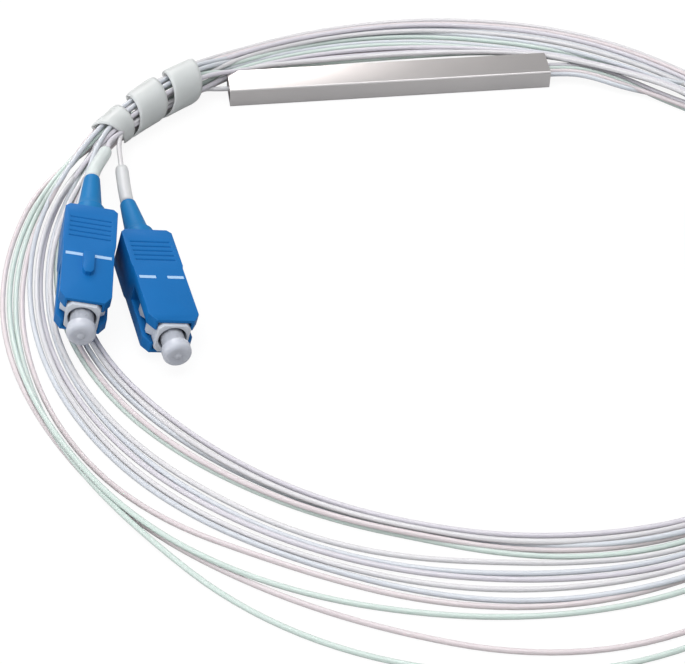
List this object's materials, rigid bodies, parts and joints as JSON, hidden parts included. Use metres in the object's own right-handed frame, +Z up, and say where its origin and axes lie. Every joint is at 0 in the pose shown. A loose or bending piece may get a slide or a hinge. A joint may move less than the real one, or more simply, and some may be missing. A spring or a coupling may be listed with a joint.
{
  "type": "fibre optic splitter",
  "caption": "Planar fibre splitter in a slim steel module, with its thin cords wound in a tied coil and capped square push-pull connectors on their ends.",
  "frame": {"origin": "middle of the steel module's underside", "axes": "+X along the module towards its outputs, +Z up, the coil lies towards -Y"},
  "size_m": [0.1681, 0.1735, 0.0131],
  "materials": {
    "blue_plastic": "moulded blue, satin",
    "boot_rubber": "soft blue",
    "frame_plastic": "moulded off-white",
    "rear_plastic": "moulded dark",
    "ceramic": "polished ceramic",
    "spring_steel": "drawn wire",
    "cap_plastic": "milky translucent",
    "sleeve_plastic": "milky tubing",
    "cord_jacket": "milky tinted, glossy",
    "wrap_plastic": "milky translucent strip",
    "steel": "drawn, satin",
    "potting": "cured resin",
    "silica": "ground glass",
    "bare_glass": "coated fibre"
  },
  "bodies": {
    "root": {"fibre_coil": "cord_jacket", "input_boot": "boot_rubber", "input_ferrule_spring": "spring_steel", "input_fibre": "bare_glass", "input_fibre_block": "silica", "input_lead": "cord_jacket", "input_marker_sleeve": "sleeve_plastic", "input_plug_frame": "frame_plastic", "input_potting": "potting", "input_rear_body": "rear_plastic", "input_tail": "cord_jacket", "output_1_boot": "boot_rubber", "output_1_ferrule_spring": "spring_steel", "output_1_marker_sleeve": "sleeve_plastic", "output_1_plug_frame": "frame_plastic", "output_1_rear_body": "rear_plastic", "output_1_tail": "cord_jacket", "output_2_boot": "boot_rubber", "output_2_ferrule_spring": "spring_steel", "output_2_marker_sleeve": "sleeve_plastic", "output_2_plug_frame": "frame_plastic", "output_2_rear_body": "rear_plastic", "output_2_tail": "cord_jacket", "output_3_boot": "boot_rubber", "output_3_ferrule_spring": "spring_steel", "output_3_marker_sleeve": "sleeve_plastic", "output_3_plug_frame": "frame_plastic", "output_3_rear_body": "rear_plastic", "output_3_tail": "cord_jacket", "output_4_boot": "boot_rubber", "output_4_ferrule_spring": "spring_steel", "output_4_marker_sleeve": "sleeve_plastic", "output_4_plug_frame": "frame_plastic", "output_4_rear_body": "rear_plastic", "output_4_tail": "cord_jacket", "output_fibre_block": "silica", "output_lead_1": "cord_jacket", "output_lead_2": "cord_jacket", "output_lead_3": "cord_jacket", "output_lead_4": "cord_jacket", "output_potting": "potting", "output_ribbon": "bare_glass", "spiral_wrap": "wrap_plastic", "splitter_chip": "silica", "steel_tube": "steel"},
    "input_housing_body": {"input_outer_housing": "blue_plastic"},
    "input_ferrule_body": {"input_ferrule": "ceramic"},
    "input_cap_body": {"input_dust_cap": "cap_plastic"},
    "output_1_housing_body": {"output_1_outer_housing": "blue_plastic"},
    "output_1_ferrule_body": {"output_1_ferrule": "ceramic"},
    "output_1_cap_body": {"output_1_dust_cap": "cap_plastic"},
    "output_2_housing_body": {"output_2_outer_housing": "blue_plastic"},
    "output_2_ferrule_body": {"output_2_ferrule": "ceramic"},
    "output_2_cap_body": {"output_2_dust_cap": "cap_plastic"},
    "output_3_housing_body": {"output_3_outer_housing": "blue_plastic"},
    "output_3_ferrule_body": {"output_3_ferrule": "ceramic"},
    "output_3_cap_body": {"output_3_dust_cap": "cap_plastic"},
    "output_4_housing_body": {"output_4_outer_housing": "blue_plastic"},
    "output_4_ferrule_body": {"output_4_ferrule": "ceramic"},
    "output_4_cap_body": {"output_4_dust_cap": "cap_plastic"}
  },
  "joints": [
    {"name": "input_housing_slide", "type": "slide", "parent": "root", "child": "input_housing_body", "axis": [0.1454, -0.9894, 0], "range_m": [-0.002, 0]},
    {"name": "input_ferrule_float", "type": "slide", "parent": "root", "child": "input_ferrule_body", "axis": [0.1454, -0.9894, 0], "range_m": [-0.001, 0], "stiffness_N_per_m": 1500, "springref_m": 0.0015, "deforming": ["input_ferrule_spring"]},
    {"name": "input_cap_pull", "type": "slide", "parent": "input_ferrule_body", "child": "input_cap_body", "axis": [0.1454, -0.9894, 0], "range_m": [0, 0.008]},
    {"name": "output_1_housing_slide", "type": "slide", "parent": "root", "child": "output_1_housing_body", "axis": [-0.0918, -0.9957, -0.007], "range_m": [-0.002, 0]},
    {"name": "output_1_ferrule_float", "type": "slide", "parent": "root", "child": "output_1_ferrule_body", "axis": [-0.0918, -0.9957, -0.007], "range_m": [-0.001, 0], "stiffness_N_per_m": 1500, "springref_m": 0.0015, "deforming": ["output_1_ferrule_spring"]},
    {"name": "output_1_cap_pull", "type": "slide", "parent": "output_1_ferrule_body", "child": "output_1_cap_body", "axis": [-0.0918, -0.9957, -0.007], "range_m": [0, 0.008]},
    {"name": "output_2_housing_slide", "type": "slide", "parent": "root", "child": "output_2_housing_body", "axis": [-0.1392, -0.9903, 0], "range_m": [-0.002, 0]},
    {"name": "output_2_ferrule_float", "type": "slide", "parent": "root", "child": "output_2_ferrule_body", "axis": [-0.1392, -0.9903, 0], "range_m": [-0.001, 0], "stiffness_N_per_m": 1500, "springref_m": 0.0015, "deforming": ["output_2_ferrule_spring"]},
    {"name": "output_2_cap_pull", "type": "slide", "parent": "output_2_ferrule_body", "child": "output_2_cap_body", "axis": [-0.1392, -0.9903, 0], "range_m": [0, 0.008]},
    {"name": "output_3_housing_slide", "type": "slide", "parent": "root", "child": "output_3_housing_body", "axis": [-0.0523, -0.9986, 0], "range_m": [-0.002, 0]},
    {"name": "output_3_ferrule_float", "type": "slide", "parent": "root", "child": "output_3_ferrule_body", "axis": [-0.0523, -0.9986, 0], "range_m": [-0.001, 0], "stiffness_N_per_m": 1500, "springref_m": 0.0015, "deforming": ["output_3_ferrule_spring"]},
    {"name": "output_3_cap_pull", "type": "slide", "parent": "output_3_ferrule_body", "child": "output_3_cap_body", "axis": [-0.0523, -0.9986, 0], "range_m": [0, 0.008]},
    {"name": "output_4_housing_slide", "type": "slide", "parent": "root", "child": "output_4_housing_body", "axis": [0.0698, -0.9976, 0], "range_m": [-0.002, 0]},
    {"name": "output_4_ferrule_float", "type": "slide", "parent": "root", "child": "output_4_ferrule_body", "axis": [0.0698, -0.9976, 0], "range_m": [-0.001, 0], "stiffness_N_per_m": 1500, "springref_m": 0.0015, "deforming": ["output_4_ferrule_spring"]},
    {"name": "output_4_cap_pull", "type": "slide", "parent": "output_4_ferrule_body", "child": "output_4_cap_body", "axis": [0.0698, -0.9976, 0], "range_m": [0, 0.008]}
  ]
}
